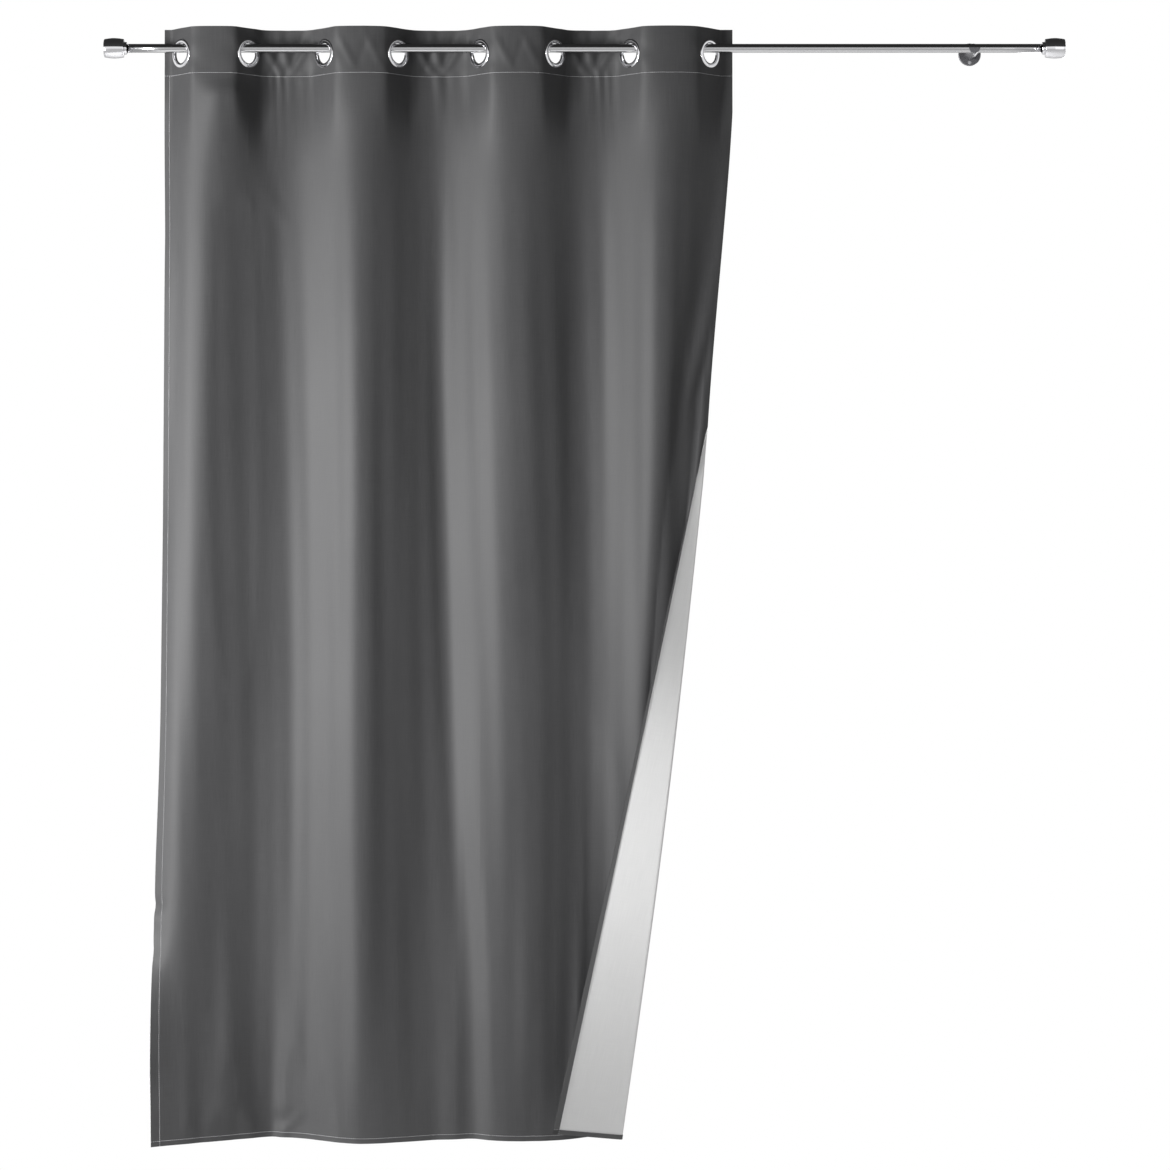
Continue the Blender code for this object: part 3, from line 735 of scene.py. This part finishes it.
def flap_grid():
    """The turned corner's middle: round the crease in a small roll, then across to its free side hem."""
    t = np.linspace(0.0, 1.0, FLAP_ROWS + 1)
    crease_z = CREASE_TOP_Z + (BOTTOM_Z - CREASE_TOP_Z) * t
    free_z = CREASE_TOP_Z + (CORNER_Z - CREASE_TOP_Z) * t
    start_x = crease_x(crease_z)
    free_x = CREASE_TOP_X + (CORNER_X - CREASE_TOP_X) * t
    border_y = hung_y(start_x, crease_z)
    radius = ROLL_TOP_RADIUS + (ROLL_RADIUS - ROLL_TOP_RADIUS) * smooth(t, 0.0, 0.08)
    columns = []
    for step in range(ROLL_STEPS):
        angle = math.pi * step / ROLL_STEPS
        x = start_x + radius * math.sin(angle)
        y = border_y - radius * (1 - math.cos(angle))
        columns.append(np.stack([x, y, crease_z], axis=-1))
    for s in np.linspace(0.0, 1.0, FLAP_COLUMNS + 1):
        x = start_x + (free_x - start_x) * s
        z = crease_z + (free_z - crease_z) * s
        behind = hung_y(x, np.clip(z, BOTTOM_Z, None))
        lift = np.clip((CRESTS[-1] - x) / (CRESTS[-1] - CORNER_X), 0.0, 1.0)
        free_y = CREST_Y[-1] + (CORNER_Y - CREST_Y[-1]) * lift
        bulge = s * smooth(t, 0.0, 0.35)
        y = border_y * (1 - bulge) + np.minimum(free_y, behind) * bulge
        ripple = FLAP_RIPPLE * np.sin(2 * math.pi * (1.4 * t + 0.35 * s)) * s * smooth(t, 0.1, 0.4)
        y = np.minimum(y, behind) - 2 * radius - FREE_HEM_LIFT * s + ripple
        columns.append(np.stack([x, y, z], axis=-1))
    points = np.stack(columns, axis=1)
    for row in points[1:, ROLL_STEPS:]:
        row[:, 1] = taut_over(row[:, 0], row[:, 1])
    for _ in range(3):
        points[:, 2:-1] = (points[:, 1:-2] + 2 * points[:, 2:-1] + points[:, 3:]) / 4
    return points


FLAP = flap_grid()
FLAP_NORMALS = -grid_normals(FLAP[:, ::-1])[:, ::-1]


# ---- Making pieces ----

# The cloth's hole round a barrel, how far past it cells are cut away and its rim is made round, and how far
# along and out from its axis points count as near.
HOLE_RADIUS = EYELET_BORE / 2 + BARREL_WALL + 0.003
HOLE_MARGIN = 0.0015
HOLE_RIM = 0.012
HOLE_DEPTH = 0.02
HOLE_REACH = 0.060


def add_object(name, bm, material):
    """Turns a bmesh into an object of one material."""
    mesh = bpy.data.meshes.new(name)
    bm.to_mesh(mesh)
    bm.free()
    obj = bpy.data.objects.new(name, mesh)
    bpy.context.scene.collection.objects.link(obj)
    mesh.materials.append(material)
    return obj


def out_of_holes(verts, holes):
    """The way straight out from a hole's axis to each point near it, by point."""
    ways = {}
    for centre, axis in holes:
        for v in verts:
            away = v.co - centre
            along = away.dot(axis)
            out = away - axis * along
            if abs(along) < HOLE_DEPTH and out.length < HOLE_REACH:
                ways[v] = out
    return ways


def cloth_sheet(name, layer, middle, normals, cut, holes=(), keep=None):
    """A sheet off a grid of middle points, as thick as its cloth, with its flat cut as its UV map."""
    offset, thickness, material = layer
    shut = np.linalg.norm(np.diff(middle, axis=1), axis=-1) < SHUT
    cells = ~(shut[:-1] & shut[1:])
    if keep is not None:
        cells &= keep
    bm = bmesh.new()
    uv = bm.loops.layers.uv.new("cut")
    grid = [[bm.verts.new(p) for p in row] for row in middle + normals * offset]
    cut_of = {v: place for row, places in zip(grid, cut) for v, place in zip(row, places)}
    out = out_of_holes(list(bm.verts), holes)
    for i, j in np.argwhere(cells):
        corners = (grid[i][j], grid[i + 1][j], grid[i + 1][j + 1], grid[i][j + 1])
        if all(v in out and out[v].length < HOLE_RADIUS + HOLE_MARGIN for v in corners):
            continue
        face = bm.faces.new(corners)
        face.smooth = True
        for loop in face.loops:
            loop[uv].uv = cut_of[loop.vert]
    for v in [v for v in bm.verts if not v.link_faces]:
        bm.verts.remove(v)
    for v in bm.verts:
        if v in out and v.is_boundary and out[v].length <= HOLE_RADIUS + HOLE_RIM:
            v.co += out[v].normalized() * (HOLE_RADIUS - out[v].length)
    bmesh.ops.remove_doubles(bm, verts=bm.verts, dist=1e-6)
    obj = add_object(name, bm, material)
    solid = obj.modifiers.new("thickness", "SOLIDIFY")
    solid.thickness = thickness
    solid.offset = 0.0
    solid.use_rim = True
    bpy.context.view_layer.update()
    evaluated = obj.evaluated_get(bpy.context.evaluated_depsgraph_get())
    obj.data = bpy.data.meshes.new_from_object(evaluated)
    obj.modifiers.clear()
    obj.data.set_sharp_from_angle(angle=math.radians(50))
    return obj


def eyelet_hole(k):
    """The eyelet's middle, and its axis towards the viewer's side, square to the cloth there."""
    axis = Vector((side_of(k) * math.sin(EYELET_TILT), -math.cos(EYELET_TILT), 0.0))
    return Vector((EYELETS[k], ROD_Y, EYELET_Z)), axis


def over_crest(piece):
    """Bakes a piece's placement into its points; the piece is not bent."""
    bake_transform(piece)


def over_corner(piece):
    """Bakes the free corner's placement into its points; the corner is not bent."""
    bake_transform(piece)


# A stitch from end to end: place along it and width, as shares of its length and of the thread, and rise.
STITCH_SHAPE = ((-0.5, 0.25, -0.0004), (-0.36, 0.9, 0.0), (0.0, 1.0, 0.0002), (0.36, 0.9, 0.0),
                (0.5, 0.25, -0.0004))
STITCH_SIDES = 6
STITCH_FLATNESS = 0.7
STITCH_PROBE = 0.001


def thread_run(name, path, normals, lift):
    """A row of stitches along a path on the cloth: short, rounded, slightly sunk at both ends."""
    run = run_along(path)

    def read(values, at):
        return np.array([np.interp(at, run, values[:, axis]) for axis in range(3)])

    bm = bmesh.new()
    uv = bm.loops.layers.uv.new("cut")
    count = max(1, int(run[-1] / STITCH_PITCH))
    for stitch in range(count):
        rings = []
        for along, width, rise in STITCH_SHAPE:
            at = (stitch + 0.5) * run[-1] / count + along * STITCH_LENGTH
            out = read(normals, at)
            out /= np.linalg.norm(out)
            forward = read(path, at + STITCH_PROBE) - read(path, at - STITCH_PROBE)
            forward /= max(np.linalg.norm(forward), 1e-9)
            side = np.cross(forward, out)
            centre = read(path, at) + out * (lift + rise)
            ring = []
            for corner in range(STITCH_SIDES):
                angle = 2 * math.pi * corner / STITCH_SIDES
                offset = side * math.cos(angle) + out * STITCH_FLATNESS * math.sin(angle)
                ring.append(bm.verts.new(centre + offset * THREAD_RADIUS * width))
            rings.append(ring)
        for a, b in zip(rings, rings[1:]):
            for corner in range(STITCH_SIDES):
                after = (corner + 1) % STITCH_SIDES
                bm.faces.new((a[corner], a[after], b[after], b[corner])).smooth = True
        bm.faces.new(rings[0][::-1])
        bm.faces.new(rings[-1])
    for face in bm.faces:
        for loop in face.loops:
            loop[uv].uv = (loop.vert.co.x, loop.vert.co.z)
    return add_object(name, bm, THREAD)


def hung_cut(rows, columns):
    """The flat cut's coordinates of part of the hung grid."""
    u, v = np.meshgrid(CUT_U[columns], TOP_Z - ROWS[rows])
    return np.stack([u, v], axis=-1)


def flap_cut():
    """The flat cut's coordinates of the flap's grid."""
    s, t = np.meshgrid(np.linspace(0.0, 1.0, FLAP.shape[1]), np.linspace(0.0, 1.0, FLAP_ROWS + 1))
    u = FLAT_WIDTH - FLAP_WIDTH * t * (1 - s)
    v = CREASE_START_DROP + (DROP - CREASE_START_DROP) * t
    return np.stack([u, v], axis=-1)


# How many columns the side hems take, and which column the left one's stitching follows.
LEFT_HEM_COLUMNS = 4
RIGHT_HEM_COLUMNS = 5
LEFT_STITCH_COLUMN = 2


def span_columns(k):
    """The columns from one eyelet's line to the next. The first and last spans run on to the side hems."""
    start = 0 if k == 0 else EYELET_COLUMNS[k]
    end = LAST_COLUMN if k == LAST_SPAN else EYELET_COLUMNS[k + 1]
    return np.arange(start, end + 1)


def span_hems(k, columns, holes):
    """One span's hems, the heading's first."""
    hems = [("header_hem", np.arange(HEADER_ROW + 1), columns, holes)]
    if k < LAST_SPAN:
        hems.append(("bottom_hem", np.arange(HEM_ROW, len(ROWS)), columns, ()))
    if k == 0:
        hems.append(("side_hem_left", np.arange(HEADER_ROW, HEM_ROW + 1), columns[:LEFT_HEM_COLUMNS], ()))
    if k == LAST_SPAN:
        rows = np.arange(HEADER_ROW, CREASE_ROW + 1)
        hems.append(("side_hem_right", rows, columns[-RIGHT_HEM_COLUMNS:], ()))
    sheets = []
    for name, rows, hem_columns, hem_holes in hems:
        part = np.ix_(rows, hem_columns)
        grid = (HUNG[part], HUNG_NORMALS[part], hung_cut(rows, hem_columns))
        sheets.append(cloth_sheet(f"{name}_{k + 1}", HEM_LAYER, *grid, hem_holes))
    return sheets


def span_threads(k, columns):
    """One span's stitching, in front and behind."""
    runs = [("header_stitch", HEADER_ROW, columns), ("bottom_stitch", HEM_ROW, columns)]
    if k == 0:
        runs.append(("side_stitch_left", slice(HEADER_ROW, None), LEFT_STITCH_COLUMN))
    threads = []
    for name, rows, places in runs:
        path = HUNG[rows, places]
        out = HUNG_NORMALS[rows, places]
        threads.append(thread_run(f"{name}_front_{k + 1}", path, out, FACE_FRONT + LAYER_GAP))
        threads.append(thread_run(f"{name}_back_{k + 1}", path, -out, LAYER_GAP - HEM_BACK))
    return threads


def make_hung_cloth():
    """Face, lining, hems and stitching of the hung cloth, one set between each two eyelets."""
    all_rows = np.arange(len(ROWS))
    for k in range(len(CRESTS)):
        columns = span_columns(k)
        grid = (HUNG[:, columns], HUNG_NORMALS[:, columns], hung_cut(all_rows, columns))
        holes = [eyelet_hole(k), eyelet_hole(k + 1)]
        face = cloth_sheet(f"face_span_{k + 1}", FACE_LAYER, *grid, holes)
        back = cloth_sheet(f"lining_span_{k + 1}", LINING_LAYER, *grid, holes)
        hems = span_hems(k, columns, holes)
        threads = span_threads(k, columns)
        for piece in [face, back, *hems, *threads]:
            over_crest(piece)
        folds = (1, 2) if k == 0 else (k + 2,)
        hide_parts(*(f"face_fold_{i}" for i in folds))
        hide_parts(*(f"lining_fold_{i}" for i in folds))
        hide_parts(*(f"heading_tape_{i}" for i in folds))


FLAP_HEM_CELLS = 2


def make_flap():
    """Face, lining, hems and stitching of the turned corner, in two parts that meet at the seventh eyelet.
    The lining stops a cell short of the free edge."""
    x = FLAP[..., 0]
    cell_x = (x[:-1, :-1] + x[1:, :-1] + x[1:, 1:] + x[:-1, 1:]) / 4
    lined = np.arange(FLAP.shape[1] - 1) < FLAP.shape[1] - 2
    grid = (FLAP, FLAP_NORMALS, flap_cut())
    stitch = -1 - FLAP_HEM_CELLS
    side = [values[:, stitch:] for values in grid]
    foot = [values[-2:, ROLL_STEPS // 2:] for values in grid]
    for part, nodes in (("upper", ("upper", "middle")), ("lower", ("tip",))):
        upper = part == "upper"
        keep = (cell_x >= SPLIT_X) == upper
        stitched = (x[:, stitch] >= SPLIT_X) == upper
        face = cloth_sheet(f"corner_face_{part}", FACE_LAYER, *grid, keep=keep)
        back = cloth_sheet(f"corner_lining_{part}", LINING_LAYER, *grid, keep=keep & lined)
        hems = [cloth_sheet(f"corner_side_hem_{part}", HEM_LAYER, *side, keep=keep[:, -FLAP_HEM_CELLS:])]
        if not upper:
            hems.append(cloth_sheet("corner_bottom_hem", HEM_LAYER, *foot))
        runs = [(f"corner_side_stitch_{part}", (stitched, stitch))]
        if not upper:
            runs.append(("corner_bottom_stitch", (-2, slice(ROLL_STEPS, None))))
        threads = [thread_run(name, FLAP[at], -FLAP_NORMALS[at], -HEM_BACK) for name, at in runs]
        for piece in [face, back, *hems, *threads]:
            if upper:
                over_crest(piece)
            else:
                over_corner(piece)
        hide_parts(*(f"turned_face_{n}" for n in nodes))
        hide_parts(*(f"turned_lining_{n}" for n in nodes))


make_hung_cloth()
make_flap()


# ---- Eyelets, rod, caps and brackets ----

def lathe(name, profile, segments, place, direction, material, closed=True):
    """A turned piece from its (radius, height) profile about a direction."""
    bm = bmesh.new()
    rings = []
    for radius, height in profile:
        if radius < 1e-6:
            rings.append([bm.verts.new((0.0, 0.0, height))] * segments)
            continue
        ring = []
        for step in range(segments):
            angle = 2 * math.pi * step / segments
            ring.append(bm.verts.new((radius * math.cos(angle), radius * math.sin(angle), height)))
        rings.append(ring)
    pairs = list(zip(rings, rings[1:]))
    if closed:
        pairs.append((rings[-1], rings[0]))
    for a, b in pairs:
        for step in range(segments):
            after = (step + 1) % segments
            corners = list(dict.fromkeys((a[step], a[after], b[after], b[step])))
            if len(corners) > 2:
                bm.faces.new(corners).smooth = True
    bmesh.ops.recalc_face_normals(bm, faces=bm.faces)
    turn = Vector(direction).to_track_quat("Z", "X").to_matrix().to_4x4()
    bmesh.ops.transform(bm, matrix=Matrix.Translation(place) @ turn, verts=bm.verts)
    return add_object(name, bm, material)


def arc(centre_radius, centre_height, radius, start, end, steps):
    """Points of a round stretch of a profile, from one angle to another in degrees."""
    points = []
    for step in range(steps + 1):
        angle = math.radians(start + (end - start) * step / steps)
        points.append((centre_radius + radius * math.cos(angle), centre_height + radius * math.sin(angle)))
    return points


def make_eyelets():
    """Each eyelet is a rolled ring with a deep barrel, and a flatter washer clenched behind."""
    bore = EYELET_BORE / 2
    barrel = bore + BARREL_WALL
    seat = FACE_FRONT + LAYER_GAP
    back_seat = LINING_MIDDLE - LINING_THICKNESS / 2 - HEM_THICKNESS - SEAT_GAP
    back = back_seat - RING_CROWN
    middle = (EYELET_OUTER + bore) / 2
    half = (EYELET_OUTER - bore) / 2
    steps = 12
    ring = [(EYELET_OUTER, seat)]
    for step in range(1, steps):
        angle = math.pi * step / steps
        ring.append((middle + half * math.cos(angle), seat + RING_CROWN * math.sin(angle) ** 0.7))
    ring += [(bore, seat), (bore, back + 0.0006), (bore + 0.0004, back), (barrel, back), (barrel, seat)]
    washer = [(EYELET_OUTER, back_seat), (EYELET_OUTER - 0.0010, back + 0.0004),
              (EYELET_OUTER - 0.0026, back), (barrel + 0.0017, back), (barrel + SEAT_GAP, back + 0.0005),
              (barrel + SEAT_GAP, back_seat)]
    for k in range(len(EYELETS)):
        place, axis = eyelet_hole(k)
        for name, profile in (("eyelet_ring", ring), ("eyelet_washer", washer)):
            piece = lathe(f"plated_{name}_{k + 1}", profile, 72, place, axis, CHROME)
            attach(piece, f"fold_{k + 1}")
            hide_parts(f"{name}_{k + 1}")


def make_rod():
    """The rod: a tube, open at both ends, which the caps close."""
    radius = ROD_DIAMETER / 2
    inner = radius - ROD_WALL
    bands = 20
    profile = [(radius, ROD_LENGTH * step / bands) for step in range(bands + 1)]
    profile += [(inner, ROD_LENGTH), (inner, 0.0)]
    rod = lathe("satin_rod", profile, 64, (ROD_START, ROD_Y, 0.0), (1, 0, 0), ROD)
    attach(rod, "rail")
    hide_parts("rod_tube")


def make_caps():
    """A drum cap with softly crowned sides and a small collar where the rod goes in."""
    hole = ROD_DIAMETER / 2 + SEAT_GAP
    end = CAP_END_DIAMETER / 2
    crown = CAP_DIAMETER / 2
    collar = COLLAR_DIAMETER / 2
    edge = 0.002
    lip = COLLAR_LENGTH / 4
    profile = [(0.0, CAP_LENGTH), (end * 0.5, CAP_LENGTH - 0.0001)]
    profile += arc(end - edge, CAP_LENGTH - edge, edge, 90, 20, 5)
    bands = 12
    for step in range(1, bands):
        s = step / bands
        bulge = (crown - end) * math.sin(math.pi * s)
        profile.append((end + bulge, (CAP_LENGTH - edge) * (1 - s) + edge * s))
    profile += arc(end - edge, edge, edge, -20, -90, 5)
    profile += arc(collar - lip, -lip, lip, 90, 0, 4)
    profile += arc(collar - lip, lip - COLLAR_LENGTH, lip, 0, -90, 4)
    profile += [(hole, -COLLAR_LENGTH), (hole, CAP_SOCKET), (0.0, CAP_SOCKET)]
    for side, x, outward in (("left", ROD_START, -1), ("right", ROD_START + ROD_LENGTH, 1)):
        mouth = x - outward * (CAP_SOCKET - SEAT_GAP)
        place = (mouth, ROD_Y, 0.0)
        cap = lathe(f"drum_cap_{side}", profile, 96, place, (outward, 0, 0), CHROME, closed=False)
        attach(cap, "rail")
        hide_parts(f"end_cap_{side}")


def finish_nodes():
    """The bracket parts keep their own shapes and take detailed finishes."""
    finishes = {"bracket_post": GUNMETAL, "wall_plate": GUNMETAL, "wall_screw": ZINC, "rod_lock_screw": ZINC}
    for name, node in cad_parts.items():
        for start, material in finishes.items():
            if name.startswith(start):
                node.data.materials.clear()
                node.data.materials.append(material)


make_eyelets()
make_rod()
make_caps()
finish_nodes()


# ---- Studio ----

# The camera looks square on at the cloth from far off. Its view is this wide at the rod.
VIEW_X = 0.825
VIEW_Z = -1.157
VIEW_DISTANCE = 7.6
VIEW_WIDTH = 2.5225
SENSOR_WIDTH = 36.0

FLOOR_HALF = 4.3
FLOOR_Y = -1.1
FLOOR_Z = -3.05

# The studio's brightness straight down and up, and at shares of the way between: a white band at the level of
# the eye, for the chrome to mirror, with grey below and dark above.
STUDIO_ENDS = (0.50, 0.03)
STUDIO_BANDS = ((0.38, 0.60), (0.415, 1.0), (0.585, 1.0), (0.62, 0.05))


def make_camera():
    """The camera, and plain colours with no film curve."""
    data = bpy.data.cameras.new("camera")
    data.sensor_width = SENSOR_WIDTH
    data.lens = SENSOR_WIDTH * VIEW_DISTANCE / VIEW_WIDTH
    data.clip_end = 100.0
    camera = bpy.data.objects.new("camera", data)
    bpy.context.scene.collection.objects.link(camera)
    camera.location = (VIEW_X, ROD_Y - VIEW_DISTANCE, VIEW_Z)
    camera.rotation_euler = (math.pi / 2, 0.0, 0.0)
    bpy.context.scene.camera = camera
    bpy.context.scene.view_settings.view_transform = "Standard"


def make_floor():
    """A pale floor well below the cloth."""
    bm = bmesh.new()
    bmesh.ops.create_grid(bm, x_segments=8, y_segments=8, size=FLOOR_HALF)
    bmesh.ops.translate(bm, verts=bm.verts, vec=(VIEW_X, FLOOR_Y, FLOOR_Z))
    add_object("studio_floor", bm, matt("pale_floor", (0.86, 0.86, 0.86), 0.8))


def make_world():
    """The studio all round, as bands of brightness."""
    world = bpy.data.worlds.new("studio")
    bpy.context.scene.world = world
    world.use_nodes = True
    nodes = Nodes(world.node_tree)
    place = nodes.add("ShaderNodeTexCoord", {}).outputs["Generated"]
    up = nodes.add("ShaderNodeSeparateXYZ", {"Vector": place}).outputs["Z"]
    level = nodes.add("ShaderNodeMapRange", {"Value": up, "From Min": -1.0, "From Max": 1.0})
    bands = nodes.add("ShaderNodeValToRGB", {"Fac": level.outputs["Result"]})
    elements = bands.color_ramp.elements
    for element, value in zip(elements, STUDIO_ENDS):
        element.color = (value, value, value, 1.0)
    for where, value in STUDIO_BANDS:
        elements.new(where).color = (value, value, value, 1.0)
    background = world.node_tree.nodes["Background"]
    nodes.give(background.inputs["Color"], bands.outputs["Color"])
    nodes.give(background.inputs["Strength"], 1.0)


def soft_light(name, place, target, size, power, spread):
    """A rectangular light, aimed at a target. Its power is in watts and its spread in degrees."""
    data = bpy.data.lights.new(name, "AREA")
    data.spread = math.radians(spread)
    data.shape = "RECTANGLE"
    data.size = size[0]
    data.size_y = size[1]
    data.energy = power
    light = bpy.data.objects.new(name, data)
    bpy.context.scene.collection.objects.link(light)
    light.location = place
    light.rotation_euler = (Vector(target) - Vector(place)).to_track_quat("-Z", "Y").to_euler()


make_camera()
make_floor()
make_world()
soft_light("key", (-2.4, -2.5, -0.95), (0.4, ROD_Y, -1.15), (0.9, 1.7), 148.0, 110)
soft_light("fill", (3.2, -4.6, -0.6), (0.6, ROD_Y, -1.4), (2.0, 2.4), 6.0, 180)
soft_light("back", (3.0, 2.8, -0.4), (0.6, ROD_Y, -1.1), (1.2, 2.0), 40.0, 180)
